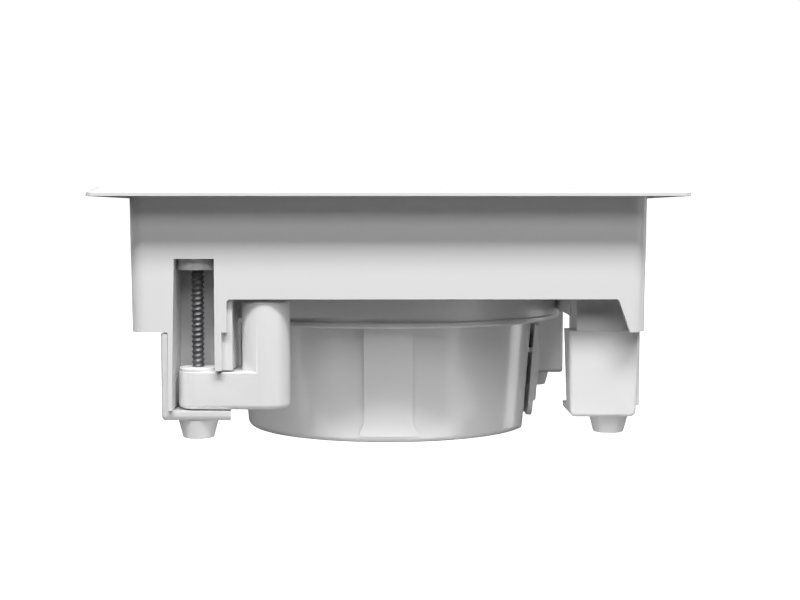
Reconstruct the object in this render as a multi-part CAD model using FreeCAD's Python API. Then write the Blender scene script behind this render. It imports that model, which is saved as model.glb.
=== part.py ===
import FreeCAD, Part
import math
import os

V = FreeCAD.Vector

# Square flush-mount speaker, flange up, standing on the floor of its back can.
# Origin at the centre of the can floor, +Z towards the room, millimetres.

# Flange, skirt and front plate of the moulded frame
mount_depth = 84.1
flange_half = 94.6
flange_corner_r = 3.5
flange_edge = 1.0
flange_height = 2.8
bevel_width = 2.8
plate_thick = 2.5
plate_rise = 1.2
skirt_half = 83.2
skirt_draft = 0.45
skirt_depth = 43.5
skirt_wall = 2.5
skirt_corner_r = 5.0
skirt_cut_depth = 32.9
cut_start_v = -51.9
cut_end_v = 73.8
cut_slant = 3.7
cut_round = 1.2

# Clamp tower, seen on the front left: v runs along the wall, u points outwards
tower_left_v = -70.8
tower_right_v = -53.6
tower_wall = 2.2
tower_back_u = 61.9
tower_back_wall = 2.2
tower_depth = 68.8
right_wall_depth = 55.9
slot_top_depth = 19.9
slot_draft = 1.1
screw_boss_depth = 23.6
screw_boss_r = 6.6
screw_boss_floor = 3.0
tower_rib = 3.3
tower_rib_inset = 2.1
screw_axis_u = 73.8

# Clamp screw and dog-leg clamp
screw_r = 2.1
screw_head_r = 4.2
screw_head_h = 1.9
screw_tip_gap = 1.2
access_clear = 0.4
shank_clear = 0.3
run_clear = 0.05
dog_hub_r = 6.3
dog_rise_r = 6.1
dog_arm_inset = 0.2
dog_hub_rise = 1.1
dog_arm_height = 12.4
dog_arm_length = 22.2
dog_post_r = 7.8
dog_post_height = 34.9
dog_top_round = 0.6
dog_bottom_round = 1.8
dog_wall_gap = 0.5
notch_width = 3.0
notch_deep = 0.7

# Tower cap with its conical nub
cap_clear = 0.15
cap_wall = 2.3
cap_back_wall = 2.6
cap_plate_reach = 2.9
cap_top_gap = 0.5
cap_front_inset = 0.2
cap_back_reach = 14.8
cap_back_slant = 5.0
cap_side_taper = 2.5
cap_plate_gap = 0.4
cap_plate = 3.0
cap_round = 2.0
cap_front_draft = 1.3
cap_back_draft = 0.4
cap_edge_r = 1.2
nub_top_r = 6.7
nub_bottom_r = 5.0
nub_height = 6.3

# Grille and its magnets
grille_sheet = 0.8
grille_clear = 0.3
grille_inset = 0.2
grille_border = 5.0
grille_bar = 4.2
grille_rows = 12
recess_wall = 2.0
recess_corner_r = 3.0
magnet_r = 4.0
magnet_thick = 1.5
magnet_place = 75.5
magnet_spread = 30.0
pocket_clear = 0.05

# Driver ring inside the frame
ring_r = 63.5
ring_wall = 2.2
ring_depth = 43.9
ring_lip_r = 0.8
ring_lip_proud = 0.5
ring_lip_height = 1.7
web_thick = 2.0
web_depth = 40.2
shelf_ring_depth = 11.3
shelf_ring_thick = 3.0
driver_hole_r = 52.5
ledge_depth = 36.5
ledge_thick = 2.5
ledge_r = 57.0
boss_r = 3.0
boss_height = 9.0

# Back can
can_top_r = 55.8
can_bottom_r = 52.6
can_wall = 2.0
can_floor = 2.0
can_edge_r = 2.2
can_flange = 2.5
can_flange_clear = 0.3
gasket_thick = 1.0
can_screw_circle = 58.7
can_screw_count = 6
small_screw_r = 1.25
small_head_r = 2.4
small_head_h = 1.7
small_screw_length = 9.0
band_half = 8.4
band_flare = 2.2
band_flare_start = 5.0
band_proud = 3.0
band_foot_proud = 0.5
pad_inset = 4.1

# Terminal plate and block on the can's flat pad
terminal_stand_off = 2.2
terminal_plate_thick = 1.8
terminal_plate_half = 15.0
terminal_plate_low = 4.2
terminal_plate_drop = 1.7
terminal_plate_round = 5.0
terminal_screw_inset = 4.0
terminal_foot_inset = 2.6
terminal_screw_length = 6.0
terminal_head_h = 1.0
terminal_boss_r = 3.2
terminal_block_half = 10.0
terminal_block_low = 9.4
terminal_block_drop = 9.0
terminal_block_thick = 1.4
wire_hole_r = 1.6
wire_hole_y = 5.0
clamp_hole_deep = 1.1
clamp_screw_hole_r = 2.0
terminal_clamp_r = 1.8
lead_hole_y = 7.0
lead_hole_z = 4.0

# Woofer
basket_sheet = 1.2
basket_r = 59.6
basket_mouth_r = 50.6
basket_ledge_r = 37.0
basket_foot_r = 30.0
spider_ledge_depth = 23.0
basket_depth = 32.2
spider_ledge = 4.0
basket_hole_r = 17.0
window_count = 6
window_width = 17.0
driver_gasket_thick = 0.8
driver_screw_circle = 56.8
driver_screw_count = 4
magnet_ring_r = 36.0
magnet_ring_hole = 16.0
yoke_clear = 1.4
top_plate_r = 32.0
top_plate_thick = 4.0
yoke_thick = 5.0
pole_r = 12.8
coil_gap = 0.35
former_wall = 0.2
former_length = 23.0
coil_thick = 0.35
coil_length = 8.0
spider_sheet = 0.4
spider_wave = 1.0
spider_waves = 3
cone_sheet = 0.6
cone_edge_r = 44.0
cone_neck_drop = 18.4
roll_r = 3.0
roll_sheet = 0.5
roll_lip = 3.2
dust_cap_r = 17.0
dust_cap_rise = 4.5

# Tweeter on its bridge
bridge_width = 16.0
bridge_thick = 3.0
bridge_rise = 5.3
bridge_foot = 4.6
bridge_ring_wall = 3.2
bridge_ring_height = 4.8
tweeter_r = 14.0
tweeter_height = 14.0
tweeter_cup_wall = 1.5
tweeter_magnet_r = 9.0
tweeter_magnet_h = 6.0
dome_r = 10.5
dome_rise = 2.8
dome_rim = 0.4

# Crossover board in the can
board_length = 58.0
board_width = 40.0
board_thick = 1.6
board_stand = 4.0
board_boss_r = 2.6
board_screw_inset = 4.0
capacitor_r = 5.0
capacitor_length = 24.0
inductor_r = 10.0
inductor_core_r = 5.0
inductor_height = 9.0
resistor_side = 7.0
resistor_length = 22.0

corners = ["front_left", "front_right", "back_right", "back_left"]


def rounded_outline(points, place):
    # Closed wire through corner points (a, b, radius), each corner rounded by its own radius
    flat = [V(a, b, 0) for a, b, radius in points]
    legs = []
    for i, corner in enumerate(flat):
        radius = points[i][2]
        back = (flat[i - 1] - corner).normalize()
        ahead = (flat[(i + 1) % len(flat)] - corner).normalize()
        if radius == 0:
            legs.append((corner, None, corner))
            continue
        half_angle = back.getAngle(ahead) / 2
        reach = radius / math.tan(half_angle)
        middle = (back + ahead).normalize() * (radius / math.sin(half_angle) - radius)
        legs.append((corner + back * reach, corner + middle, corner + ahead * reach))
    edges = []
    for i, (enter, middle, leave) in enumerate(legs):
        if middle is not None:
            arc = Part.Arc(place(enter.x, enter.y), place(middle.x, middle.y), place(leave.x, leave.y))
            edges.append(arc.toShape())
        following = legs[(i + 1) % len(legs)][0]
        if (following - leave).Length > 1e-6:
            edges.append(Part.makeLine(place(leave.x, leave.y), place(following.x, following.y)))
    return Part.Wire(edges)


def turned(points):
    # Solid of revolution about Z from (radius, height, corner radius) points
    wire = rounded_outline(points, lambda r, z: V(r, 0, z))
    return Part.Face(wire).revolve(V(0, 0, 0), V(0, 0, 1), 360)


def square_wire(half, radius, z):
    points = [(-half, -half, radius), (half, -half, radius), (half, half, radius), (-half, half, radius)]
    return rounded_outline(points, lambda x, y: V(x, y, z))


def square_prism(half, radius, low, high):
    return Part.Face(square_wire(half, radius, low)).extrude(V(0, 0, high - low))


def square_taper(half_low, half_high, radius, low, high):
    return Part.makeLoft([square_wire(half_low, radius, low), square_wire(half_high, radius, high)], True, True)


def block(x0, x1, y0, y1, z0, z1):
    return Part.makeBox(x1 - x0, y1 - y0, z1 - z0, V(x0, y0, z0))


def rod(r, x, y, low, high):
    return Part.makeCylinder(r, high - low, V(x, y, low))


def tube(r_out, r_in, low, high):
    return turned([(r_in, low, 0), (r_out, low, 0), (r_out, high, 0), (r_in, high, 0)])


def turn(shape, degrees):
    copy = shape.copy()
    copy.rotate(V(0, 0, 0), V(0, 0, 1), degrees)
    return copy


def joined(shapes):
    return shapes[0].fuse(shapes[1:]).removeSplitter()


def cut(shape, tools):
    return shape.cut(tools)


def around(count, radius, start=0.0):
    # Points on a circle, evenly spaced
    angles = [math.radians(start + 360.0 * k / count) for k in range(count)]
    return [(radius * math.cos(a), radius * math.sin(a)) for a in angles]


def save(shape, name):
    os.makedirs("parts", exist_ok=True)
    shape.exportStep("parts/" + name + ".step")


# Levels worked out from the driving depths
flange_z = mount_depth
top_z = flange_z + flange_height
floor_z = flange_z + plate_rise
plate_low = floor_z - plate_thick
skirt_low = flange_z - skirt_depth
tower_low = flange_z - tower_depth
screw_boss_low = flange_z - screw_boss_depth
seat_z = screw_boss_low + screw_boss_floor
head_top = seat_z + screw_head_h
right_wall_low = flange_z - right_wall_depth
slot_left_v = tower_left_v + tower_wall
slot_right_v = tower_right_v - tower_wall
screw_axis_v = (slot_left_v + slot_right_v) / 2
skirt_face = skirt_half - skirt_draft
cap_plate_top = tower_low - cap_plate_gap
cap_low = cap_plate_top - cap_plate
nub_low = cap_low - nub_height
ring_low = flange_z - ring_depth
ring_in = ring_r - ring_wall
baffle_z = flange_z - shelf_ring_depth
ledge_z = flange_z - ledge_depth
gasket_low = ledge_z - gasket_thick
can_flange_low = gasket_low - can_flange
recess_half = flange_half - bevel_width - recess_wall
tower_x = screw_axis_v
tower_y = -screw_axis_u
lip_z = baffle_z + driver_gasket_thick + basket_sheet
basket_low = lip_z - basket_depth
spider_z = lip_z - spider_ledge_depth
top_plate_low = basket_low - top_plate_thick
board_z = can_floor + board_stand
board_top = board_z + board_thick
tallest_part = max(2 * capacitor_r, inductor_height, resistor_side)
yoke_low = board_top + tallest_part + yoke_clear
magnet_low = yoke_low + yoke_thick
former_r = pole_r + coil_gap + former_wall
coil_r = former_r + coil_thick
coil_low = (basket_low + top_plate_low - coil_length) / 2
cone_neck_z = lip_z - cone_sheet - cone_neck_drop
bridge_low = lip_z + bridge_rise
bridge_top = bridge_low + bridge_thick
tweeter_top = bridge_top - dome_rise / 2
terminal_face = terminal_stand_off + terminal_plate_thick
terminal_seat = terminal_face - terminal_head_h
terminal_front = terminal_face + terminal_block_thick
terminal_plate_high = ring_low - terminal_plate_drop
terminal_block_high = terminal_plate_high - terminal_block_drop
terminal_clamp_z = terminal_block_high - terminal_screw_inset
terminal_wire_z = terminal_block_low + terminal_screw_inset

# Screw places: can screws, woofer screws on the diagonals, bridge screws on the X axis
can_screw_spots = around(can_screw_count, can_screw_circle)
woofer_screw_spots = around(driver_screw_count, driver_screw_circle, 45)
bridge_screw_spots = around(2, driver_screw_circle)
driver_screw_spots = woofer_screw_spots + bridge_screw_spots
board_x = board_length / 2 - board_screw_inset
board_y = board_width / 2 - board_screw_inset
board_screw_spots = [(x, y) for x in (-board_x, board_x) for y in (-board_y, board_y)]
terminal_low_screw = terminal_plate_low + terminal_foot_inset
terminal_high_screw = terminal_plate_high - terminal_screw_inset
terminal_screw_spots = [(0, terminal_low_screw), (0, terminal_high_screw)]

magnet_spots = []
for spread in (-magnet_spread, magnet_spread):
    for k in range(4):
        spot = V(spread, -magnet_place, 0)
        magnet_spots.append(FreeCAD.Rotation(V(0, 0, 1), 90 * k).multVec(spot))


def clamp_tower():
    # Three-sided channel behind the slot, with the round boss that carries the screw head
    left = block(tower_left_v, slot_left_v, -skirt_face, -tower_back_u, tower_low, plate_low)
    right = block(slot_right_v, tower_right_v, -skirt_face, -tower_back_u, right_wall_low, plate_low)
    back_front = -tower_back_u - tower_back_wall
    back = block(tower_left_v, tower_right_v, back_front, -tower_back_u, tower_low, plate_low)
    boss = rod(screw_boss_r, tower_x, tower_y, screw_boss_low, plate_low)
    rib_front = -skirt_face + tower_rib_inset
    rib = block(slot_right_v, tower_right_v + tower_rib, rib_front, -tower_back_u, right_wall_low, plate_low)
    # Web running on from the back of the tower until it meets the driver ring
    web = block(slot_right_v, 0, -ring_r, web_thick - ring_r, flange_z - web_depth, plate_low)
    return [left, right, back, boss, rib, web]


def skirt_side_cuts():
    # Slot in front of the clamp and the long shallow opening along one side
    through = skirt_half - skirt_wall * 2
    slot = block(slot_left_v, slot_right_v, -flange_half, -through, right_wall_low, flange_z - slot_top_depth)
    high = flange_z - skirt_cut_depth
    fall = skirt_depth - skirt_cut_depth
    low = skirt_low - fall
    points = [
        (cut_start_v, low, 0),
        (cut_start_v, high, cut_round),
        (cut_end_v, high, cut_round),
        (cut_end_v + 2 * cut_slant, low, 0),
    ]
    opening = Part.Face(rounded_outline(points, lambda v, z: V(v, -flange_half, z)))
    return [slot, opening.extrude(V(0, flange_half - through, 0))]


def driver_ring():
    # Ring wall with the baffle that seats the woofer and the ledge that seats the back can
    lip_r = ring_r + ring_lip_proud
    lip_top = ring_low + ring_lip_height
    wall = turned([
        (ring_in, ring_low, ring_lip_proud),
        (lip_r, ring_low, ring_lip_r),
        (lip_r, lip_top, 0),
        (ring_r, lip_top + ring_lip_proud, 0),
        (ring_r, plate_low, 0),
        (ring_in, plate_low, 0),
    ])
    baffle = tube(ring_r - ring_wall / 2, driver_hole_r, baffle_z - shelf_ring_thick, baffle_z)
    ledge = tube(ring_r - ring_wall / 2, ledge_r, ledge_z, ledge_z + ledge_thick)
    bosses = [rod(boss_r, x, y, ledge_z, ledge_z + boss_height) for x, y in can_screw_spots]
    bosses += [rod(boss_r, x, y, baffle_z - shelf_ring_thick - boss_height, baffle_z - shelf_ring_thick)
               for x, y in driver_screw_spots]
    outside = tube(flange_half, ring_r - ring_wall / 2, ring_low, baffle_z)
    return [wall, baffle, ledge] + [boss.cut(outside) for boss in bosses]


def mounting_frame():
    flange = square_prism(flange_half, flange_corner_r, flange_z, flange_z + flange_edge)
    bevel = square_taper(flange_half, flange_half - bevel_width, flange_corner_r, flange_z + flange_edge, top_z)
    recess = square_prism(recess_half, recess_corner_r, floor_z, top_z + flange_edge)
    skirt = square_taper(skirt_face, skirt_half, skirt_corner_r, skirt_low, flange_z)
    hollow = square_taper(skirt_face - skirt_wall, skirt_half - skirt_wall, skirt_corner_r - skirt_wall,
                          skirt_low, flange_z)
    plate = square_prism(skirt_half - skirt_wall, skirt_corner_r - skirt_wall, plate_low, flange_z)
    wall = skirt.cut(hollow)
    side_cuts = skirt_side_cuts()
    wall = wall.cut([turn(tool, 90 * k) for tool in side_cuts for k in range(4)])
    towers = [turn(piece, 90 * k) for piece in clamp_tower() for k in range(4)]
    body = joined([flange, bevel, plate, wall] + towers + driver_ring())
    tools = [recess, rod(ring_in, 0, 0, plate_low, top_z)]
    # The slot widens downwards on its far side
    points = [
        (slot_left_v, flange_z - slot_top_depth, 0),
        (slot_left_v, tower_low, 0),
        (slot_left_v - slot_draft, tower_low, 0),
    ]
    draft = Part.Face(rounded_outline(points, lambda v, z: V(v, -flange_half, z)))
    draft = draft.extrude(V(0, flange_half - tower_back_u - tower_back_wall, 0))
    tools += [turn(draft, 90 * k) for k in range(4)]
    access = rod(screw_head_r + access_clear, tower_x, tower_y, seat_z, top_z)
    passage = rod(screw_r + shank_clear, tower_x, tower_y, screw_boss_low, seat_z)
    tools += [turn(tool, 90 * k) for tool in (access, passage) for k in range(4)]
    tools += [rod(magnet_r + pocket_clear, s.x, s.y, floor_z - magnet_thick, top_z) for s in magnet_spots]
    pilot = small_screw_r + pocket_clear
    tools += [rod(pilot, x, y, ledge_z, ledge_z + small_screw_length) for x, y in can_screw_spots]
    tools += [rod(pilot, x, y, baffle_z - small_screw_length, baffle_z) for x, y in driver_screw_spots]
    return cut(body, tools)


def grille():
    half = recess_half - grille_clear
    high = top_z - grille_inset
    outer = square_prism(half, recess_corner_r, floor_z, high)
    inner = square_prism(half - grille_sheet, recess_corner_r - grille_sheet, floor_z, high - grille_sheet)
    # Plain grid of square openings inside the border
    field = half - grille_border
    pitch = (2 * field + grille_bar) / grille_rows
    starts = [row * pitch - field for row in range(grille_rows)]
    size = pitch - grille_bar
    openings = [block(x, x + size, y, y + size, floor_z, high) for x in starts for y in starts]
    return outer.cut([inner] + openings)


def grille_magnets():
    discs = [rod(magnet_r, s.x, s.y, floor_z - magnet_thick, floor_z) for s in magnet_spots]
    return Part.makeCompound(discs)


def pan_screw(x, y, seat_z, length, up):
    # Small pan head screw; the shank runs to +Z when up is 1 and to -Z when up is -1
    head = turned([
        (0, 0, 0),
        (small_head_r, 0, 0),
        (small_head_r, -small_head_h, small_head_h * 0.6),
        (0, -small_head_h, 0),
    ])
    screw = joined([head, Part.makeCylinder(small_screw_r, length)])
    if up < 0:
        screw.rotate(V(0, 0, 0), V(1, 0, 0), 180)
    screw.translate(V(x, y, seat_z))
    return screw


def tower_cap():
    # Left wall, part of a back wall and a floor; the side towards the dog stays open
    in_left = tower_left_v - cap_clear
    out_left = in_left - cap_wall
    out_right = tower_right_v + cap_plate_reach
    in_back = tower_back_u - cap_clear
    out_back = in_back - cap_back_wall
    front = skirt_face - cap_front_inset
    high = skirt_low - cap_top_gap
    points = [
        (-out_back, high, 0),
        (-out_back - cap_back_draft, cap_low, cap_round),
        (-front + cap_front_draft, cap_low, cap_round),
        (-front, high, 0),
    ]
    side = Part.Face(rounded_outline(points, lambda y, z: V(out_left, y, z)))
    body = side.extrude(V(out_right - out_left, 0, 0))
    edges = [edge for edge in body.Edges
             if edge.BoundBox.XMax < out_left + cap_clear and edge.BoundBox.ZMin < high - cap_clear]
    body = body.makeFillet(cap_edge_r, edges)
    room = block(in_left, out_right, -flange_half, -in_back, cap_plate_top, high)
    back_end = out_left + cap_back_reach
    points = [
        (back_end, high, 0),
        (back_end - cap_back_slant, cap_plate_top, cut_round),
        (out_right, cap_plate_top, 0),
        (out_right, high, 0),
    ]
    trim = Part.Face(rounded_outline(points, lambda x, z: V(x, -flange_half, z)))
    trim = trim.extrude(V(0, flange_half, 0))
    points = [(out_right, -front, 0), (out_right, -out_back, 0), (out_right - cap_side_taper, -out_back, 0)]
    taper = Part.Face(rounded_outline(points, lambda x, y: V(x, y, cap_low))).extrude(V(0, 0, cap_plate))
    nub = turned([
        (0, cap_low, 0),
        (nub_top_r, cap_low, 0),
        (nub_bottom_r, nub_low, 0.5),
        (0, nub_low, 0),
    ])
    nub.translate(V(tower_x, tower_y, 0))
    socket = rod(screw_r + run_clear, tower_x, tower_y, nub_low + screw_tip_gap, cap_plate_top)
    return cut(joined([body.cut([room, trim, taper]), nub]), [socket])


def clamp_screw():
    # Pan head in the boss, shank through the dog, tip turning in the nub of the cap
    tip = nub_low + 2 * screw_tip_gap
    screw = turned([
        (0, tip, 0),
        (screw_r, tip, screw_r * 0.4),
        (screw_r, seat_z, 0),
        (screw_head_r, seat_z, 0),
        (screw_head_r, head_top, screw_head_h * 0.6),
        (0, head_top, 0),
    ])
    screw.translate(V(tower_x, tower_y, 0))
    return screw


def clamp_dog():
    # Hub on the screw, flat arm along the wall, tall round post that bears on the board
    high = right_wall_low - dog_wall_gap
    low = high - dog_arm_height
    hub_top = high + dog_hub_rise
    hub = turned([
        (0, low, 0),
        (dog_hub_r, low, dog_bottom_round),
        (dog_hub_r, high, dog_top_round),
        (dog_rise_r, high, 0),
        (dog_rise_r, hub_top, dog_top_round),
        (0, hub_top, 0),
    ])
    # Arm that widens from hub to post, its sides just inside their tangents
    lean = (dog_hub_r - dog_post_r) / dog_arm_length
    near_x = dog_hub_r * lean
    far_x = dog_arm_length + dog_post_r * lean
    near_y = dog_hub_r - dog_arm_inset
    far_y = dog_post_r - dog_arm_inset
    points = [(near_x, -near_y, 0), (far_x, -far_y, 0), (far_x, far_y, 0), (near_x, near_y, 0)]
    arm = Part.Face(rounded_outline(points, lambda x, y: V(x, y, low))).extrude(V(0, 0, dog_arm_height))
    sides = [edge for edge in arm.Edges if edge.BoundBox.XLength > dog_arm_length / 2]
    arm = arm.makeFillet(dog_bottom_round, [edge for edge in sides if abs(edge.CenterOfMass.z - low) < 1e-6])
    sides = [edge for edge in arm.Edges if edge.BoundBox.XLength > dog_arm_length / 2]
    arm = arm.makeFillet(dog_top_round, [edge for edge in sides if abs(edge.CenterOfMass.z - high) < 1e-6])
    post_top = low + dog_post_height
    post = turned([
        (0, low, 0),
        (dog_post_r, low, dog_bottom_round),
        (dog_post_r, post_top, dog_top_round),
        (0, post_top, 0),
    ])
    post.translate(V(dog_arm_length, 0, 0))
    # Detent notch that drops under the short wall of the tower
    notch_x = tower_right_v - tower_wall / 2 - screw_axis_v
    points = [
        (notch_x - notch_width / 2, high, 0),
        (notch_x, high - notch_deep, 0),
        (notch_x + notch_width / 2, high, 0),
        (notch_x, high + notch_deep, 0),
    ]
    notch = Part.Face(rounded_outline(points, lambda x, z: V(x, -dog_post_r, z)))
    notch = notch.extrude(V(0, 2 * dog_post_r, 0))
    bore = rod(screw_r + run_clear, 0, 0, low, hub_top)
    dog = cut(joined([hub, arm, post]), [notch, bore])
    dog.translate(V(tower_x, tower_y, 0))
    return dog


def can_radius(z):
    # Outside radius of the tapered can at a height
    return can_bottom_r + (can_top_r - can_bottom_r) * z / ring_low


def on_pad(shape):
    # Carry a shape from the pad's own frame (x outwards from the pad, z up it) to the can
    lean = math.degrees(math.atan2(can_top_r - can_bottom_r, ring_low))
    shape.rotate(V(0, 0, 0), V(0, 1, 0), lean)
    shape.translate(V(can_bottom_r - pad_inset, 0, 0))
    return shape


def pad_rod(r, y, z, x0, x1):
    return on_pad(Part.makeCylinder(r, x1 - x0, V(x0, y, z), V(1, 0, 0)))


def can_band():
    # Shallow raised band up the front of the can, flaring at its foot
    low = can_edge_r
    high = can_flange_low
    sleeve = turned([
        (can_radius(low) - can_wall / 2, low, 0),
        (can_radius(low) + band_foot_proud, low, 0),
        (can_radius(high) + band_proud, high, 0),
        (can_radius(high) - can_wall / 2, high, 0),
    ])
    foot = band_half + band_flare
    knee = low + band_flare_start
    points = [
        (-foot, low, 0),
        (foot, low, 0),
        (band_half, knee, band_flare_start),
        (band_half, high, 0),
        (-band_half, high, 0),
        (-band_half, knee, band_flare_start),
    ]
    strip = Part.Face(rounded_outline(points, lambda x, z: V(x, -flange_half, z)))
    return sleeve.common(strip.extrude(V(0, flange_half, 0)))


def back_can():
    outer = turned([
        (0, 0, 0),
        (can_radius(0), 0, can_edge_r),
        (can_radius(gasket_low), gasket_low, 0),
        (0, gasket_low, 0),
    ])
    inner = turned([
        (0, can_floor, 0),
        (can_radius(can_floor) - can_wall, can_floor, can_edge_r),
        (can_radius(gasket_low) - can_wall, gasket_low, 0),
        (0, gasket_low, 0),
    ])
    reach = can_top_r
    outer = outer.cut(on_pad(block(0, reach, -reach, reach, -reach, 2 * reach)))
    inner = inner.cut(on_pad(block(-can_wall, reach, -reach, reach, -reach, 2 * reach)))
    flange = rod(ring_in - can_flange_clear, 0, 0, can_flange_low, gasket_low)
    band = can_band()
    stand_offs = [pad_rod(terminal_boss_r, y, z, -can_wall / 2, terminal_stand_off)
                  for y, z in terminal_screw_spots]
    rib_y = terminal_plate_half - terminal_plate_thick
    rib_low = terminal_block_high - terminal_plate_thick
    rib = on_pad(block(-can_wall / 2, terminal_stand_off, -rib_y, rib_y, rib_low, terminal_block_high))
    shell = joined([outer, flange, band, turn(band, 180), rib] + stand_offs).cut(inner)
    bosses = [rod(board_boss_r, x, y, can_floor / 2, board_z) for x, y in board_screw_spots]
    pilot = small_screw_r + pocket_clear
    tools = [rod(pilot, x, y, can_floor, board_z) for x, y in board_screw_spots]
    tools += [rod(pilot, x, y, can_flange_low, gasket_low) for x, y in can_screw_spots]
    tools += [pad_rod(pilot, y, z, -2 * can_wall, terminal_stand_off) for y, z in terminal_screw_spots]
    middle = (terminal_block_low + rib_low) / 2
    tools.append(on_pad(block(-2 * can_wall, can_wall, -lead_hole_y, lead_hole_y,
                              middle - lead_hole_z, middle + lead_hole_z)))
    return cut(joined([shell] + bosses), tools)


def can_gasket():
    ring = tube(ring_in - can_flange_clear, ledge_r, gasket_low, ledge_z)
    return ring.cut([rod(small_screw_r + pocket_clear, x, y, gasket_low, ledge_z) for x, y in can_screw_spots])


def terminal_plate():
    half = terminal_plate_half
    points = [
        (-half, terminal_plate_low, terminal_plate_round),
        (half, terminal_plate_low, terminal_plate_round),
        (half, terminal_plate_high, cut_round),
        (-half, terminal_plate_high, cut_round),
    ]
    outline = Part.Face(rounded_outline(points, lambda y, z: V(terminal_stand_off, y, z)))
    plate = on_pad(outline.extrude(V(terminal_plate_thick, 0, 0)))
    tools = []
    for y, z in terminal_screw_spots:
        tools.append(pad_rod(small_screw_r + pocket_clear, y, z, terminal_stand_off, terminal_face))
        tools.append(pad_rod(small_head_r + pocket_clear, y, z, terminal_seat, terminal_face))
    for y in (-wire_hole_y, wire_hole_y):
        tools.append(pad_rod(wire_hole_r, y, terminal_wire_z, terminal_stand_off, terminal_face))
    return plate.cut(tools)


def terminal_screws():
    # Flush screws sunk into the plate
    screws = []
    for y, z in terminal_screw_spots:
        head = pad_rod(small_head_r, y, z, terminal_seat, terminal_face)
        shank = pad_rod(small_screw_r, y, z, terminal_face - terminal_screw_length, terminal_seat)
        screws.append(joined([head, shank]))
    return Part.makeCompound(screws)


def terminal_block():
    # Two-way block: wires enter through its face, each below its own clamping screw
    half = terminal_block_half
    points = [
        (terminal_face, terminal_block_low, 0),
        (terminal_front, terminal_block_low, cut_round),
        (terminal_front, terminal_block_high, cut_round),
        (terminal_face, terminal_block_high, 0),
    ]
    side = Part.Face(rounded_outline(points, lambda x, z: V(x, -half, z)))
    body = on_pad(side.extrude(V(0, 2 * half, 0)))
    deep = terminal_front - clamp_hole_deep
    tools = []
    for y in (-wire_hole_y, wire_hole_y):
        tools.append(pad_rod(wire_hole_r, y, terminal_wire_z, terminal_face, terminal_front))
        tools.append(pad_rod(clamp_screw_hole_r, y, terminal_clamp_z, deep, terminal_front))
    return body.cut(tools)


def terminal_clamp_screws():
    deep = terminal_front - clamp_hole_deep
    screws = [pad_rod(terminal_clamp_r, y, terminal_clamp_z, deep, terminal_front - pocket_clear)
              for y in (-wire_hole_y, wire_hole_y)]
    return Part.makeCompound(screws)


def woofer_gasket():
    ring = tube(basket_r, driver_hole_r, baffle_z, baffle_z + driver_gasket_thick)
    return ring.cut([rod(small_screw_r + pocket_clear, x, y, baffle_z, lip_z) for x, y in driver_screw_spots])


def woofer_basket():
    # Pressed basket: rim, conical wall with windows, spider ledge and foot on the top plate
    sheet = basket_sheet
    foot_top = basket_low + sheet
    inner_ledge_r = basket_ledge_r - spider_ledge
    body = turned([
        (basket_r, lip_z, 0),
        (basket_mouth_r, lip_z, 0),
        (basket_ledge_r, spider_z, 0),
        (inner_ledge_r, spider_z, 0),
        (basket_foot_r, foot_top, 0),
        (basket_hole_r, foot_top, 0),
        (basket_hole_r, basket_low, 0),
        (basket_foot_r + sheet, basket_low, 0),
        (inner_ledge_r + sheet, spider_z - sheet, 0),
        (basket_ledge_r + sheet, spider_z - sheet, 0),
        (basket_mouth_r + sheet, lip_z - sheet, 0),
        (basket_r, lip_z - sheet, 0),
    ])
    rise = (lip_z - spider_z) / 6
    window = block(basket_foot_r, basket_r, -window_width / 2, window_width / 2, spider_z + rise, lip_z - rise)
    tools = [turn(window, 360.0 * k / window_count) for k in range(window_count)]
    tools += [rod(small_screw_r + pocket_clear, x, y, lip_z - sheet, lip_z) for x, y in driver_screw_spots]
    return body.cut(tools)


def screws_down(spots, seat_z, length):
    return Part.makeCompound([pan_screw(x, y, seat_z, length, -1) for x, y in spots])


def woofer_yoke():
    # Back plate and pole turned as one piece
    plate = tube(top_plate_r, 0, yoke_low, magnet_low)
    return joined([plate, rod(pole_r, 0, 0, yoke_low, basket_low)])


def spider():
    # Corrugated disc from the coil former to the basket ledge
    start = former_r + pocket_clear
    end = basket_ledge_r - pocket_clear
    flat = (end - start) / 5
    steps = 2 * spider_waves + 1
    line = [(start, spider_z)]
    for k in range(steps):
        r = start + flat + (end - start - 2 * flat) * k / (steps - 1)
        line.append((r, spider_z + (spider_wave if k % 2 else 0)))
    line.append((end, spider_z))
    below = [(r, z, 0) for r, z in line]
    above = [(r, z + spider_sheet, 0) for r, z in reversed(line)]
    return turned(below + above)


def cone():
    neck = former_r + pocket_clear
    rim = cone_edge_r - roll_lip
    edge = cone_edge_r + pocket_clear
    return turned([
        (neck, cone_neck_z, 0),
        (rim, lip_z - cone_sheet, 0),
        (edge, lip_z - cone_sheet, 0),
        (edge, lip_z, 0),
        (rim, lip_z, 0),
        (neck, cone_neck_z + 2 * cone_sheet, 0),
    ])


def surround():
    # Half-roll between the cone rim and the basket rim
    inner = cone_edge_r + roll_sheet
    outer = inner + 2 * roll_r
    middle = inner + roll_r
    high = lip_z + roll_sheet
    step = roll_sheet * 0.8

    def at(r, z):
        return V(r, 0, z)

    path = [
        Part.makeLine(at(inner - roll_lip, lip_z), at(inner, lip_z)),
        Part.Arc(at(inner, lip_z), at(middle, lip_z + roll_r), at(outer, lip_z)).toShape(),
        Part.makeLine(at(outer, lip_z), at(outer + roll_lip, lip_z)),
        Part.makeLine(at(outer + roll_lip, lip_z), at(outer + roll_lip, high)),
        Part.makeLine(at(outer + roll_lip, high), at(outer + step, high)),
        Part.Arc(at(outer + step, high), at(middle, high + roll_r), at(inner - step, high)).toShape(),
        Part.makeLine(at(inner - step, high), at(inner - roll_lip, high)),
        Part.makeLine(at(inner - roll_lip, high), at(inner - roll_lip, lip_z)),
    ]
    return Part.Face(Part.Wire(path)).revolve(V(0, 0, 0), V(0, 0, 1), 360)


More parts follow.
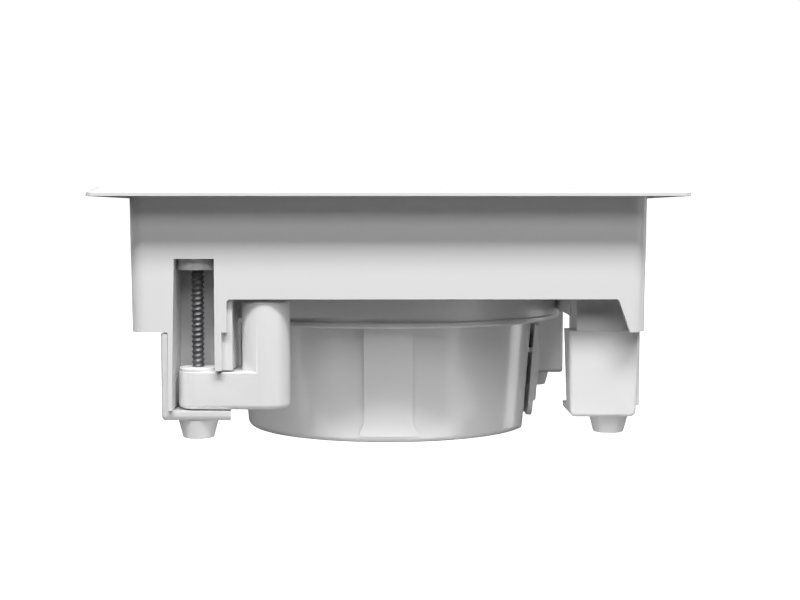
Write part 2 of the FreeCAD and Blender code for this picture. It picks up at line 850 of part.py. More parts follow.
def dome(radius, rise, sheet, z):
    # Thin spherical cap standing on a level
    def arc(r, h):
        ball = (r * r + h * h) / (2 * h)
        spread = math.asin(r / ball) / 2
        middle = V(ball * math.sin(spread), 0, z + h - ball + ball * math.cos(spread))
        return Part.Arc(V(r, 0, z), middle, V(0, 0, z + h)).toShape()

    inner_r = radius - 2 * sheet
    inner_rise = rise - sheet
    edges = [
        arc(radius, rise),
        Part.makeLine(V(0, 0, z + rise), V(0, 0, z + inner_rise)),
        arc(inner_r, inner_rise),
        Part.makeLine(V(inner_r, 0, z), V(radius, 0, z)),
    ]
    return Part.Face(Part.Wire(Part.__sortEdges__(edges))).revolve(V(0, 0, 0), V(0, 0, 1), 360)


def dust_cap():
    neck_top = cone_neck_z + 2 * cone_sheet
    slope = (lip_z - neck_top) / (cone_edge_r - roll_lip - former_r)
    seat = neck_top + (dust_cap_r - former_r) * slope
    return dome(dust_cap_r, dust_cap_rise, cone_sheet, seat + pocket_clear)


def tweeter_bridge():
    # Bar across the mouth of the woofer with feet on its rim and a ring for the tweeter
    reach = driver_screw_circle + small_head_r + pocket_clear
    half = bridge_width / 2
    bar = block(-reach, reach, -half, half, bridge_low, bridge_top)
    feet = [block(x, x + bridge_foot, -half, half, lip_z, bridge_low) for x in (-reach, reach - bridge_foot)]
    hold_r = tweeter_r + pocket_clear
    ring = rod(hold_r + bridge_ring_wall, 0, 0, bridge_top - bridge_ring_height, bridge_top)
    tools = [rod(hold_r, 0, 0, bridge_top - bridge_ring_height, bridge_top)]
    tools += [rod(small_screw_r + pocket_clear, x, y, lip_z, bridge_top) for x, y in bridge_screw_spots]
    return cut(joined([bar, ring] + feet), tools)


def tweeter_cup():
    low = tweeter_top - tweeter_height
    inside = rod(tweeter_r - tweeter_cup_wall, 0, 0, low + tweeter_cup_wall, tweeter_top)
    return rod(tweeter_r, 0, 0, low, tweeter_top).cut(inside)


def tweeter_magnet():
    low = tweeter_top - tweeter_height + tweeter_cup_wall
    return rod(tweeter_magnet_r, 0, 0, low, low + tweeter_magnet_h)


def tweeter_dome():
    rim = tube(tweeter_r, dome_r - 2 * dome_rim, tweeter_top, tweeter_top + dome_rim)
    return joined([rim, dome(dome_r, dome_rise, dome_rim, tweeter_top + dome_rim)])


def crossover_board():
    half_x = board_length / 2
    half_y = board_width / 2
    board = block(-half_x, half_x, -half_y, half_y, board_z, board_top)
    holes = [rod(small_screw_r + pocket_clear, x, y, board_z, board_top) for x, y in board_screw_spots]
    return board.cut(holes)


def crossover_capacitor():
    y = board_width / 2 - board_screw_inset - capacitor_r
    base = V(-capacitor_length / 2, y, board_top + capacitor_r)
    return Part.makeCylinder(capacitor_r, capacitor_length, base, V(1, 0, 0))


def crossover_inductor():
    # Air-cored coil lying flat on the board
    coil = tube(inductor_r, inductor_core_r, board_top, board_top + inductor_height)
    coil.translate(V(-inductor_r - resistor_side / 2, -board_y + board_screw_inset + resistor_side / 2, 0))
    return coil


def crossover_resistor():
    y = -board_y + board_screw_inset
    return block(0, resistor_length, y, y + resistor_side, board_top, board_top + resistor_side)


driver_bite = small_screw_length - pocket_clear - driver_gasket_thick
can_screw_length = can_flange + gasket_thick + small_screw_length - 2 * pocket_clear
board_screw_length = board_thick + board_stand - 2 * pocket_clear

pieces = {
    "mounting_frame": mounting_frame(),
    "grille": grille(),
    "grille_magnets": grille_magnets(),
    "back_can": back_can(),
    "can_gasket": can_gasket(),
    "can_screws": Part.makeCompound(
        [pan_screw(x, y, can_flange_low, can_screw_length, 1) for x, y in can_screw_spots]),
    "terminal_plate": terminal_plate(),
    "terminal_screws": terminal_screws(),
    "terminal_block": terminal_block(),
    "terminal_clamp_screws": terminal_clamp_screws(),
    "woofer_gasket": woofer_gasket(),
    "woofer_basket": woofer_basket(),
    "woofer_screws": screws_down(woofer_screw_spots, lip_z, lip_z - baffle_z + driver_bite),
    "woofer_top_plate": tube(top_plate_r, coil_r + coil_gap, top_plate_low, basket_low),
    "woofer_magnet": tube(magnet_ring_r, magnet_ring_hole, magnet_low, top_plate_low),
    "woofer_yoke": woofer_yoke(),
    "voice_coil_former": tube(former_r, former_r - former_wall, coil_low, coil_low + former_length),
    "voice_coil": tube(coil_r, former_r, coil_low, coil_low + coil_length),
    "spider": spider(),
    "cone": cone(),
    "surround": surround(),
    "dust_cap": dust_cap(),
    "tweeter_bridge": tweeter_bridge(),
    "bridge_screws": screws_down(bridge_screw_spots, bridge_top, bridge_top - baffle_z + driver_bite),
    "tweeter_cup": tweeter_cup(),
    "tweeter_magnet": tweeter_magnet(),
    "tweeter_dome": tweeter_dome(),
    "crossover_board": crossover_board(),
    "board_screws": screws_down(board_screw_spots, board_top, board_screw_length),
    "crossover_capacitor": crossover_capacitor(),
    "crossover_inductor": crossover_inductor(),
    "crossover_resistor": crossover_resistor(),
}
for k, corner in enumerate(corners):
    pieces["tower_cap_" + corner] = turn(tower_cap(), 90 * k)
    pieces["clamp_screw_" + corner] = turn(clamp_screw(), 90 * k)
    pieces["clamp_dog_" + corner] = turn(clamp_dog(), 90 * k)

for name, shape in pieces.items():
    save(shape, name)
    print(name, len(shape.Solids), round(shape.Volume, 1), shape.isValid())
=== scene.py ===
import math

import bmesh
import bpy
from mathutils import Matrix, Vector
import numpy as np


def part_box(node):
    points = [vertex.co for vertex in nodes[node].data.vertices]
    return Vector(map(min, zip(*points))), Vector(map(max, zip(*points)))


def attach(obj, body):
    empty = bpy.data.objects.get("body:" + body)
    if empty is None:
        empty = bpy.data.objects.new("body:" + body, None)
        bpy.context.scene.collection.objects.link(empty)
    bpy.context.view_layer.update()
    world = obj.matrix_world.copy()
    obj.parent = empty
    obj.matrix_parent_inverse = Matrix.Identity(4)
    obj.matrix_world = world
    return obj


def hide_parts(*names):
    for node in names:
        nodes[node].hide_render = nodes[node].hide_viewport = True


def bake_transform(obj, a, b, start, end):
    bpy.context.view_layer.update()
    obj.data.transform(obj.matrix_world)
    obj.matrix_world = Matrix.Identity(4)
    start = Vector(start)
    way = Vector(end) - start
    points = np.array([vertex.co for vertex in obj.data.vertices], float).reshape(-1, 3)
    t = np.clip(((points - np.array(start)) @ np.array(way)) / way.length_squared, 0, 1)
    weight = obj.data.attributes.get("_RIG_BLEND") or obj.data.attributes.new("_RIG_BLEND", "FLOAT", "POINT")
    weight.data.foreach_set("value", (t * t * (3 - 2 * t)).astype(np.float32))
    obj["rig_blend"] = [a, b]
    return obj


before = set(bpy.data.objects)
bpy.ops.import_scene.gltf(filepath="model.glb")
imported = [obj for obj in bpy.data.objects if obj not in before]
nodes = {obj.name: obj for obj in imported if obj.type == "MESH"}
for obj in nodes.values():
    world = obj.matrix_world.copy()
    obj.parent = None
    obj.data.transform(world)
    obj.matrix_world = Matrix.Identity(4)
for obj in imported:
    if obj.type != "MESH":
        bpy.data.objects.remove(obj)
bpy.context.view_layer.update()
corners = ["front_left", "front_right", "back_right", "back_left"]
mm = 0.001
tiny = 1e-7
print("speaker frame loaded,", len(nodes), "nodes")


# finishes: every one is a small node tree on one Principled shader
# a roughness range that crosses 0.27 renders blotchy, so each finish stays on one side of it
finishSet = {"glossier": 0.05, "duller": 0.06, "cloudLow": 0.1, "cloudHigh": 0.9, "coatRough": 0.08,
             "weaveTint": 0.03, "weaveWobble": 0.6, "weaveStrength": 0.5}


def newFinish(name):
    mat = bpy.data.materials.new(name)
    mat.use_nodes = True
    tree = mat.node_tree
    return mat, tree, tree.nodes["Principled BSDF"]


def addNode(tree, kind, **settings):
    node = tree.nodes.new(kind)
    for key, value in settings.items():
        setattr(node, key, value)
    return node


def objectCoords(tree, stretch=(1, 1, 1)):
    coords = addNode(tree, "ShaderNodeTexCoord")
    mapping = addNode(tree, "ShaderNodeMapping")
    mapping.inputs["Scale"].default_value = stretch
    tree.links.new(coords.outputs["Object"], mapping.inputs["Vector"])
    return mapping.outputs["Vector"]


def noise(tree, where, scale, detail):
    node = addNode(tree, "ShaderNodeTexNoise")
    node.inputs["Scale"].default_value = scale
    node.inputs["Detail"].default_value = detail
    tree.links.new(where, node.inputs["Vector"])
    return node.outputs["Fac"]


def ramp(tree, value, low, high, lowAt=0.3, highAt=0.7):
    node = addNode(tree, "ShaderNodeValToRGB")
    first, second = node.color_ramp.elements[0], node.color_ramp.elements[1]
    first.position, second.position = lowAt, highAt
    first.color, second.color = (*low, 1), (*high, 1)
    tree.links.new(value, node.inputs["Fac"])
    return node.outputs["Color"]


def spread(tree, value, low, high):
    node = addNode(tree, "ShaderNodeMapRange")
    node.inputs["To Min"].default_value = low
    node.inputs["To Max"].default_value = high
    tree.links.new(value, node.inputs["Value"])
    return node.outputs["Result"]


def bump(tree, height, strength, depth):
    node = addNode(tree, "ShaderNodeBump")
    node.inputs["Strength"].default_value = strength
    node.inputs["Distance"].default_value = depth
    tree.links.new(height, node.inputs["Height"])
    return node.outputs["Normal"]


def shade(color, change):
    return tuple(max(0.0, min(1.0, c + change)) for c in color)


# one recipe for moulded, painted and plated surfaces: cloudy tint, uneven gloss, fine grain
def surfaceFinish(name, color, rough, tint=0.02, grain=1800.0, grainDepth=0.00002, metal=0.0,
                  stretch=(1, 1, 1), cloud=35.0, coat=0.0, strength=0.25):
    mat, tree, shader = newFinish(name)
    where = objectCoords(tree, stretch)
    clouds = noise(tree, where, cloud, 1.0)
    fine = noise(tree, where, grain, 2.0)
    tone = ramp(tree, clouds, shade(color, -tint), shade(color, tint),
                finishSet["cloudLow"], finishSet["cloudHigh"])
    gloss = spread(tree, clouds, rough - finishSet["glossier"], rough + finishSet["duller"])
    tree.links.new(tone, shader.inputs["Base Color"])
    tree.links.new(gloss, shader.inputs["Roughness"])
    tree.links.new(bump(tree, fine, strength, grainDepth), shader.inputs["Normal"])
    shader.inputs["Metallic"].default_value = metal
    shader.inputs["Coat Weight"].default_value = coat
    shader.inputs["Coat Roughness"].default_value = finishSet["coatRough"]
    return mat


# cloth: a crossed weave
def wovenFinish(name, color, rough, threads, depth):
    mat, tree, shader = newFinish(name)
    where = objectCoords(tree)
    weave = addNode(tree, "ShaderNodeMath", operation="MAXIMUM")
    for side, direction in enumerate(("X", "Y")):
        wave = addNode(tree, "ShaderNodeTexWave", wave_type="BANDS", bands_direction=direction)
        wave.inputs["Scale"].default_value = threads
        wave.inputs["Distortion"].default_value = finishSet["weaveWobble"]
        tree.links.new(where, wave.inputs["Vector"])
        tree.links.new(wave.outputs["Fac"], weave.inputs[side])
    tint = finishSet["weaveTint"]
    tone = ramp(tree, weave.outputs[0], shade(color, -tint), shade(color, tint))
    relief = bump(tree, weave.outputs[0], finishSet["weaveStrength"], depth)
    tree.links.new(tone, shader.inputs["Base Color"])
    tree.links.new(relief, shader.inputs["Normal"])
    shader.inputs["Roughness"].default_value = rough
    return mat


white = (0.80, 0.80, 0.80)
whiteLook = {"tint": 0.003, "cloud": 25.0}
whiteMoulding = surfaceFinish("whiteMoulding", white, 0.36, coat=0.15, **whiteLook)
whiteCan = surfaceFinish("whiteCan", white, 0.2, coat=0.25, **whiteLook)
whiteCap = surfaceFinish("whiteCap", white, 0.36, coat=0.1, **whiteLook)
whiteDog = surfaceFinish("whiteDog", white, 0.36, coat=0.1, **whiteLook)
terminalWhite = surfaceFinish("terminalWhite", (0.74, 0.74, 0.74), 0.4, grain=900.0, grainDepth=0.00004)
# grille grey of 0.64, darker than the white moulding it matches: painted shade that holds back the strong top
# light on the grille
grillePaintAndShade = surfaceFinish("grillePaintAndShade", (0.64, 0.64, 0.64), 0.42, tint=0.01,
                            grain=1200.0, grainDepth=0.00005)
threadSteel = surfaceFinish("threadSteel", (0.17, 0.17, 0.175), 0.58, tint=0.03, metal=1.0,
                            stretch=(1, 1, 9), cloud=240.0)
smallSteel = surfaceFinish("smallSteel", (0.55, 0.55, 0.56), 0.36, metal=1.0, stretch=(6, 1, 1), cloud=300.0)
platedIron = surfaceFinish("platedIron", (0.5, 0.49, 0.45), 0.38, metal=1.0, cloud=120.0)
nickelDisc = surfaceFinish("nickelDisc", (0.72, 0.71, 0.69), 0.18, metal=1.0, cloud=200.0)
gasketFoam = surfaceFinish("gasketFoam", (0.035, 0.035, 0.035), 0.9,
                           grain=2600.0, grainDepth=0.0002, strength=0.8)
basketPaint = surfaceFinish("basketPaint", (0.03, 0.03, 0.03), 0.45, tint=0.01,
                            grain=1500.0, grainDepth=0.00005)
ferriteGrey = surfaceFinish("ferriteGrey", (0.06, 0.06, 0.062), 0.7, tint=0.015,
                            grain=2200.0, grainDepth=0.0001)
formerFoil = surfaceFinish("formerFoil", (0.76, 0.76, 0.77), 0.36, metal=1.0, stretch=(1, 1, 6))
coilCopper = surfaceFinish("coilCopper", (0.62, 0.27, 0.10), 0.36, metal=1.0, stretch=(1, 1, 30), cloud=90.0)
conePulp = surfaceFinish("conePulp", (0.045, 0.045, 0.048), 0.6, tint=0.012,
                         grain=1300.0, grainDepth=0.0002)
rollRubber = surfaceFinish("rollRubber", (0.02, 0.02, 0.02), 0.55, tint=0.006,
                           grain=2500.0, grainDepth=0.00005)
bridgeBlack = surfaceFinish("bridgeBlack", (0.028, 0.028, 0.028), 0.5, tint=0.008,
                            grain=1400.0, grainDepth=0.0001)
boardGreen = surfaceFinish("boardGreen", (0.03, 0.16, 0.06), 0.2, tint=0.02, cloud=160.0, coat=0.3)
capacitorFilm = surfaceFinish("capacitorFilm", (0.55, 0.36, 0.06), 0.2, stretch=(1, 8, 8), cloud=60.0)
resistorStone = surfaceFinish("resistorStone", (0.62, 0.6, 0.55), 0.85, tint=0.05,
                              grain=1600.0, grainDepth=0.0002)
spiderCloth = wovenFinish("spiderCloth", (0.5, 0.33, 0.12), 0.8, threads=900.0, depth=0.0002)
domeCloth = wovenFinish("domeCloth", (0.05, 0.05, 0.055), 0.6, threads=1600.0, depth=0.0001)
print("finishes ready")


def paint(obj, mat):
    obj.data.materials.clear()
    obj.data.materials.append(mat)


nodeFinish = {
    "grille_magnets": nickelDisc, "tweeter_magnet": nickelDisc,
    "can_gasket": gasketFoam, "woofer_gasket": gasketFoam,
    "can_screws": smallSteel, "terminal_screws": smallSteel, "terminal_clamp_screws": smallSteel,
    "woofer_screws": smallSteel, "bridge_screws": smallSteel, "board_screws": smallSteel,
    "terminal_plate": terminalWhite, "terminal_block": terminalWhite,
    "woofer_basket": basketPaint, "woofer_top_plate": platedIron, "woofer_yoke": platedIron,
    "woofer_magnet": ferriteGrey, "voice_coil_former": formerFoil,
    "voice_coil": coilCopper, "crossover_inductor": coilCopper,
    "spider": spiderCloth, "cone": conePulp, "dust_cap": conePulp, "surround": rollRubber,
    "tweeter_bridge": bridgeBlack, "tweeter_cup": bridgeBlack, "tweeter_dome": domeCloth,
    "crossover_board": boardGreen, "crossover_capacitor": capacitorFilm, "crossover_resistor": resistorStone,
    "mounting_frame": whiteMoulding, "back_can": whiteCan, "grille": grillePaintAndShade,
}
for corner in corners:
    nodeFinish["tower_cap_" + corner] = whiteCap
    nodeFinish["clamp_dog_" + corner] = whiteDog
    nodeFinish["clamp_screw_" + corner] = threadSteel
for nodeName, mat in nodeFinish.items():
    paint(nodes[nodeName], mat)


def meshObject(name, bm, mat):
    mesh = bpy.data.meshes.new(name)
    bm.to_mesh(mesh)
    bm.free()
    obj = bpy.data.objects.new(name, mesh)
    bpy.context.scene.collection.objects.link(obj)
    paint(obj, mat)
    return obj


def newPiece(name, bm, mat, body, nodeName):
    piece = meshObject(name, bm, mat)
    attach(piece, body)
    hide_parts(nodeName)
    return piece


def smoothBy(piece, degrees):
    for face in piece.data.polygons:
        face.use_smooth = True
    piece.data.set_sharp_from_angle(angle=math.radians(degrees))


mouldSet = {"weld": 0.005 * mm, "flatAngle": 0.15, "sharpAngle": 35}


def weldedCopy(nodeName):
    bm = bmesh.new()
    bm.from_mesh(nodes[nodeName].data)
    bmesh.ops.remove_doubles(bm, verts=bm.verts, dist=mouldSet["weld"])
    return bm


# moulded pieces keep the solid's own form; their hard edges get a small moulded round
def mouldedCopy(nodeName, pieceName, mat, body, edge):
    bm = weldedCopy(nodeName)
    flat = math.radians(mouldSet["flatAngle"])
    bmesh.ops.dissolve_limit(bm, angle_limit=flat, verts=bm.verts, edges=bm.edges)
    piece = newPiece(pieceName, bm, mat, body, nodeName)
    leftOver = piece.data.attributes.get("custom_normal")
    if leftOver:
        piece.data.attributes.remove(leftOver)
    smoothBy(piece, mouldSet["sharpAngle"])
    rounding = piece.modifiers.new("mouldedEdge", "BEVEL")
    rounding.width = edge["width"]
    rounding.segments = edge["segments"]
    rounding.limit_method = "ANGLE"
    rounding.angle_limit = math.radians(mouldSet["sharpAngle"])
    rounding.use_clamp_overlap = True
    rounding.harden_normals = True


frameEdge = {"width": 0.35 * mm, "segments": 2}
mouldedCopy("mounting_frame", "frameMoulding", whiteMoulding, "frame", frameEdge)
canEdge = {"width": 0.3 * mm, "segments": 2}
mouldedCopy("back_can", "canShell", whiteCan, "frame", canEdge)
terminalEdge = {"width": 0.3 * mm, "segments": 2}
mouldedCopy("terminal_plate", "terminalPlate", terminalWhite, "frame", terminalEdge)
mouldedCopy("terminal_block", "terminalBlock", terminalWhite, "frame", terminalEdge)
print("frame, can and terminal mouldings done")

capEdge = {"width": 0.4 * mm, "segments": 2}
dogEdge = {"width": 0.3 * mm, "segments": 2}
for corner in corners:
    mouldedCopy("tower_cap_" + corner, "towerCap_" + corner, whiteCap, "frame", capEdge)
    mouldedCopy("clamp_dog_" + corner, "clampDog_" + corner, whiteDog, "dog_" + corner, dogEdge)
print("caps and dogs done")


def vertRing(bm, centre, height, radii):
    ring = []
    for k, radius in enumerate(radii):
        angle = 2 * math.pi * k / len(radii)
        ring.append(bm.verts.new((centre.x + radius * math.cos(angle),
                                  centre.y + radius * math.sin(angle), height)))
    return ring


def joinRings(bm, lower, upper):
    for k in range(len(lower)):
        n = (k + 1) % len(lower)
        bm.faces.new((lower[k], lower[n], upper[n], upper[k]))


# turned form; a profile point on the axis becomes a single vertex
def lathe(bm, profile, sides, centre):
    rings = []
    for radius, height in profile:
        if radius < tiny:
            rings.append([bm.verts.new((centre.x, centre.y, height))])
        else:
            rings.append(vertRing(bm, centre, height, [radius] * sides))
    for lower, upper in zip(rings, rings[1:]):
        if len(lower) == len(upper):
            joinRings(bm, lower, upper)
            continue
        for k in range(sides):
            n = (k + 1) % sides
            if len(lower) == 1:
                bm.faces.new((lower[0], upper[n], upper[k]))
            else:
                bm.faces.new((lower[k], lower[n], upper[0]))


# clamp screws: rolled thread on a core under a pan head
threadSet = {"pitch": 1.68 * mm, "coreRadius": 1.7 * mm, "crestRadius": 2.1 * mm, "crestFlat": 0.12,
             "flank": 1.15, "around": 28, "rowsPerTurn": 6, "sharpAngle": 50,
             "pointLength": 4 * mm, "pointShare": 0.55, "runOut": 1.2 * mm}
headSet = {"height": 1.9 * mm, "round": 1.0 * mm, "roundSteps": 6, "sides": 40}


def threadRadii(base, tipZ, headBase):
    core, around = threadSet["coreRadius"], threadSet["around"]
    point = min(1.0, (base - tipZ) / threadSet["pointLength"])  # runs out to a blunt point
    fade = point * min(1.0, (headBase - base) / threadSet["runOut"])
    share = threadSet["pointShare"]
    radii = []
    for k in range(around):
        turn = (base / threadSet["pitch"] - k / around) % 1.0  # how far up the tooth this spot lies
        tooth = max(0.0, 1 - abs(turn - 0.5) / (0.5 - threadSet["crestFlat"]) * threadSet["flank"])
        tooth = min(1.0, tooth * threadSet["flank"])
        radii.append(core * (share + (1 - share) * point) + (threadSet["crestRadius"] - core) * tooth * fade)
    return radii


def threadedScrew(corner):
    low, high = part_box("clamp_screw_" + corner)
    centre = (low + high) / 2
    headRadius = (high.x - low.x) / 2
    headBase = high.z - headSet["height"]
    step = threadSet["pitch"] / threadSet["rowsPerTurn"]
    count = int((headBase - low.z) / step) + 1
    bm = bmesh.new()
    rows = []
    for row in range(count + 1):
        base = min(low.z + row * step, headBase)
        rows.append(vertRing(bm, centre, base, threadRadii(base, low.z, headBase)))
    for lower, upper in zip(rows, rows[1:]):
        joinRings(bm, lower, upper)
    bm.faces.new(list(reversed(rows[0])))
    bm.faces.new(rows[-1])
    rounded, steps = headSet["round"], headSet["roundSteps"]
    profile = [(0, headBase), (headRadius, headBase)]
    for k in range(steps + 1):
        swing = math.pi / 2 * k / steps
        profile.append((headRadius - rounded + rounded * math.cos(swing),
                        high.z - rounded + rounded * math.sin(swing)))
    profile.append((0, high.z))
    lathe(bm, profile, headSet["sides"], centre)
    piece = newPiece("clampScrew_" + corner, bm, threadSteel, "screw_" + corner,
                     "clamp_screw_" + corner)
    smoothBy(piece, threadSet["sharpAngle"])


for corner in corners:
    threadedScrew(corner)
print("threaded clamp screws done")


# grille: staggered round holes punched in a sheet with a folded edge
grilleSet = {"pitch": 3.4 * mm, "holeRadius": 1.1 * mm, "holeSides": 10, "sheet": 0.7 * mm, "margin": 4.0 * mm,
             "cornerRadius": 3.0 * mm, "foldRadius": 0.6 * mm, "cornerSteps": 6, "foldSteps": 4,
             "sharpAngle": 40}


def roundedSquare(half, radius, steps):
    points = []
    for quarter, (sideX, sideY) in enumerate([(1, 1), (-1, 1), (-1, -1), (1, -1)]):
        for k in range(steps + 1):
            angle = math.pi / 2 * (quarter + k / steps)
            points.append((sideX * (half - radius) + radius * math.cos(angle),
                           sideY * (half - radius) + radius * math.sin(angle)))
    return points


# one hole with its wall, and the flat strip from the hole to the six points of its cell
def punchCell(bm, centre, cell):
    sides = grilleSet["holeSides"]
    angles = [2 * math.pi * (k + 0.5) / sides for k in range(sides)]
    ring, deep = [], []
    for angle in angles:
        spot = centre + Vector((math.cos(angle), math.sin(angle), 0)) * grilleSet["holeRadius"]
        ring.append(bm.verts.new(spot))
        deep.append(bm.verts.new(spot - Vector((0, 0, grilleSet["sheet"]))))
    joinRings(bm, ring, deep)
    turns = [math.atan2(v.co.y - centre.y, v.co.x - centre.x) % (2 * math.pi) for v in cell]
    outer = sorted(zip(turns, cell), key=lambda pair: pair[0])
    inner = list(zip(angles, ring))
    # walk round the hole and the cell together, closing the strip with triangles
    i = j = 0
    while i < len(outer) or j < sides:
        a, b = outer[i % len(outer)][1], inner[j % sides][1]
        nextOuter = outer[i][0] if i < len(outer) else math.inf
        nextInner = inner[j][0] if j < sides else math.inf
        if nextOuter <= nextInner:
            bm.faces.new((a, outer[(i + 1) % len(outer)][1], b))
            i += 1
        else:
            bm.faces.new((b, a, inner[(j + 1) % sides][1]))
            j += 1


# loops from the flat top round the fold, down the outside and up the inside
def foldedEdge(bm, half, lowZ, highZ):
    fold, steps, sheet = grilleSet["foldRadius"], grilleSet["foldSteps"], grilleSet["sheet"]
    profile = []
    for k in range(steps + 1):
        swing = math.pi / 2 * k / steps
        profile.append((half - fold + fold * math.sin(swing), highZ - fold + fold * math.cos(swing)))
    profile += [(half, lowZ), (half - sheet, lowZ), (half - sheet, highZ - sheet)]
    loops = []
    for size, height in profile:
        outline = roundedSquare(size, grilleSet["cornerRadius"] - (half - size), grilleSet["cornerSteps"])
        loops.append([bm.verts.new((x, y, height)) for x, y in outline])
    for upper, lower in zip(loops, loops[1:]):
        for k in range(len(upper)):
            n = (k + 1) % len(upper)
            bm.faces.new((upper[k], lower[k], lower[n], upper[n]))
    top = loops[0]
    return [bm.edges.get((top[k], top[(k + 1) % len(top)])) for k in range(len(top))]


def punchedGrille():
    low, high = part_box("grille")
    half = (high.x - low.x) / 2
    pitch = grilleSet["pitch"]
    field = 2 * (half - grilleSet["margin"])
    across = int(field / pitch)
    rowHeight = pitch * math.sqrt(3) / 2
    rows = int(field / rowHeight)
    left, bottom = -across * pitch / 2, -rows * rowHeight / 2
    bm = bmesh.new()
    lattice = {}

    def spot(column, row):  # counted in half pitches along a row
        if (column, row) not in lattice:
            lattice[column, row] = bm.verts.new((left + column * pitch / 2, bottom + row * rowHeight, high.z))
        return lattice[column, row]

    for row in range(rows):
        odd = row % 2
        for column in range(across - odd):
            first = 2 * column + odd
            cell = [spot(first + 2, row), spot(first + 2, row + 1), spot(first + 1, row + 1),
                    spot(first, row + 1), spot(first, row), spot(first + 1, row)]
            centre = Vector((left + (first + 1) * pitch / 2, bottom + (row + 0.5) * rowHeight, high.z))
            punchCell(bm, centre, cell)
        if odd:  # half cells at both ends stay blank
            for first in (0, 2 * across - 1):
                bm.faces.new((spot(first, row), spot(first + 1, row),
                              spot(first + 1, row + 1), spot(first, row + 1)))
    rim = [e for e in bm.edges
           if len(e.link_faces) == 1 and all(abs(v.co.z - high.z) < tiny for v in e.verts)]
    top = foldedEdge(bm, half, low.z, high.z)
    bmesh.ops.triangle_fill(bm, use_beauty=True, use_dissolve=False, edges=rim + top, normal=(0, 0, 1))
    piece = newPiece("punchedGrille", bm, grillePaintAndShade, "frame", "grille")
    smoothBy(piece, grilleSet["sharpAngle"])
    print("grille holes", across * rows - rows // 2, "faces", len(piece.data.polygons))


punchedGrille()


# soft rings: the outer edge stays with the frame and the inner edge travels with the cone
surroundSet = {"fixed": 50.4 * mm, "moving": 44.2 * mm, "sharpAngle": 40}
spiderSet = {"fixed": 33.5 * mm, "moving": 14.5 * mm, "sharpAngle": 40}


def softRing(nodeName, pieceName, mat, ring):
    fixed, moving = ring["fixed"], ring["moving"]
    piece = meshObject(pieceName, weldedCopy(nodeName), mat)
    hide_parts(nodeName)
    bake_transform(piece, "frame", "cone_assembly", (fixed, 0, 0), (moving, 0, 0))
    weights = piece.data.attributes["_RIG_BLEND"]
    for vertex, weight in zip(piece.data.vertices, weights.data):
        share = (fixed - math.hypot(vertex.co.x, vertex.co.y)) / (fixed - moving)
        share = min(1.0, max(0.0, share))
        weight.value = share * share * (3 - 2 * share)
    smoothBy(piece, ring["sharpAngle"])


softRing("surround", "rollSurround", rollRubber, surroundSet)
softRing("spider", "waveSpider", spiderCloth, spiderSet)
print("surround and spider done")


# camera where the photo was taken: just under the flange, looking along +Y
cameraSet = {"distance": 0.546, "height": 0.0788, "side": 0.0, "lens": 65.25, "pitch": 3.433, "yaw": 0.45,
             "sensor": 36.0, "nearest": 0.01}


def addCamera():
    data = bpy.data.cameras.new("photoCamera")
    data.lens = cameraSet["lens"]
    data.sensor_width = cameraSet["sensor"]
    data.clip_start = cameraSet["nearest"]
    camera = bpy.data.objects.new("photoCamera", data)
    camera.location = (cameraSet["side"], -cameraSet["distance"], cameraSet["height"])
    camera.rotation_euler = (math.radians(90 - cameraSet["pitch"]), 0, math.radians(-cameraSet["yaw"]))
    bpy.context.scene.collection.objects.link(camera)
    bpy.context.scene.camera = camera


studioSet = {"floorHalf": 6.0, "wallHeight": 6.0, "wallSides": 48, "darkest": 0.88, "palest": 0.9, "rough": 0.7,
             "cloud": 3.0, "glow": 1.0, "world": 0.04, "aimHeight": 0.06}


# white stage: floor, round wall and ceiling that glow on their own and cast no light on the speaker
def addStage():
    mat, tree, shader = newFinish("paleStage")
    clouds = noise(tree, objectCoords(tree), studioSet["cloud"], 2.0)
    tone = ramp(tree, clouds, [studioSet["darkest"]] * 3, [studioSet["palest"]] * 3)
    tree.links.new(tone, shader.inputs["Base Color"])
    shader.inputs["Roughness"].default_value = studioSet["rough"]
    shader.inputs["Emission Color"].default_value = (1, 1, 1, 1)
    shader.inputs["Emission Strength"].default_value = studioSet["glow"]
    half, height = studioSet["floorHalf"], studioSet["wallHeight"]
    bm = bmesh.new()
    lathe(bm, [(0, 0), (half, 0), (half, height), (0, height)], studioSet["wallSides"], Vector((0, 0, 0)))
    stage = meshObject("studioStage", bm, mat)
    stage.visible_diffuse = False
    stage.visible_glossy = False
    stage.visible_shadow = False


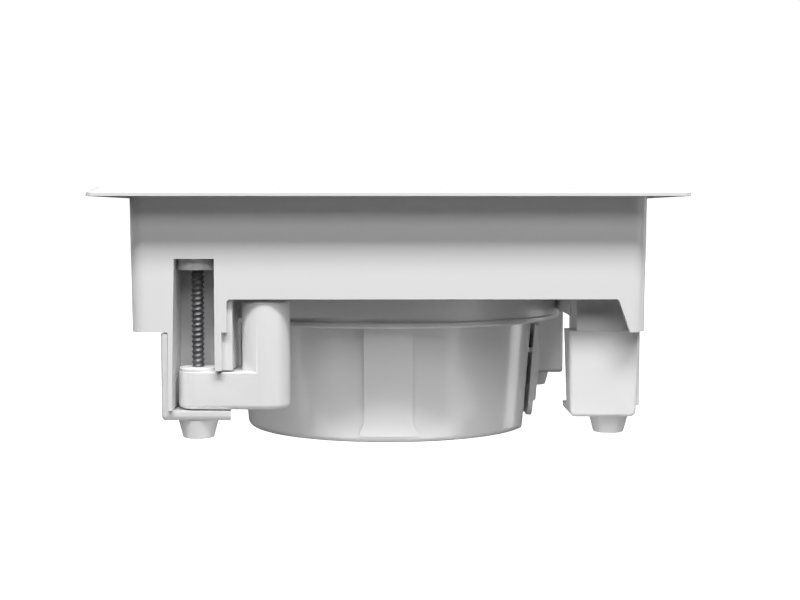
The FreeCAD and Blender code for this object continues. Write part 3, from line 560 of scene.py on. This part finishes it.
def addWorld():
    world = bpy.data.worlds.new("studioWorld")
    world.use_nodes = True
    background = world.node_tree.nodes["Background"]
    background.inputs["Color"].default_value = (1, 1, 1, 1)
    background.inputs["Strength"].default_value = studioSet["world"]
    bpy.context.scene.world = world


# softboxes are placed by the angle they are seen at from the speaker
def addSoftbox(name, box):
    aim = Vector((0, 0, studioSet["aimHeight"]))
    turn, rise = math.radians(box["turn"]), math.radians(box["rise"])
    away = Vector((math.sin(turn) * math.cos(rise), -math.cos(turn) * math.cos(rise), math.sin(rise)))
    data = bpy.data.lights.new(name, "AREA")
    data.shape = "RECTANGLE"
    data.size, data.size_y = box["wide"], box["tall"]
    data.energy = box["watts"]
    light = bpy.data.objects.new(name, data)
    light.location = aim + away * box["reach"]
    light.rotation_euler = (aim - light.location).to_track_quat("-Z", "Y").to_euler()
    bpy.context.scene.collection.objects.link(light)


# those with a rise below zero shine up through the floor
softboxes = {
    "lowFrontBox": {"turn": 0, "rise": 30, "reach": 1.6, "wide": 1.5, "tall": 0.45, "watts": 6.7},
    "highFrontBox": {"turn": 0, "rise": 55.5, "reach": 1.6, "wide": 1.5, "tall": 0.37, "watts": 34.0},
    "tableBounce": {"turn": 0, "rise": -35, "reach": 1.2, "wide": 1.5, "tall": 0.6, "watts": 0.3},
    "floorGlow": {"turn": 0, "rise": -43.3, "reach": 0.117, "wide": 0.2, "tall": 0.02, "watts": 0.024},
    "leftFill": {"turn": -70, "rise": 0, "reach": 1.4, "wide": 0.2, "tall": 0.9, "watts": 0.8},
    "rightFill": {"turn": 58, "rise": -5, "reach": 1.4, "wide": 0.7, "tall": 0.7, "watts": 2.2},
    "sideStrip": {"turn": 114, "rise": 0, "reach": 1.4, "wide": 0.35, "tall": 0.9, "watts": 2.6},
    "backLeftBox": {"turn": 235, "rise": 18, "reach": 1.8, "wide": 0.9, "tall": 0.6, "watts": 15.0},
    "backRightBox": {"turn": 145, "rise": 18, "reach": 1.8, "wide": 0.9, "tall": 0.6, "watts": 12.0},
}
addCamera()
addStage()
addWorld()
for name, box in softboxes.items():
    addSoftbox(name, box)
bpy.context.scene.view_settings.view_transform = "Standard"
print("camera and studio done")
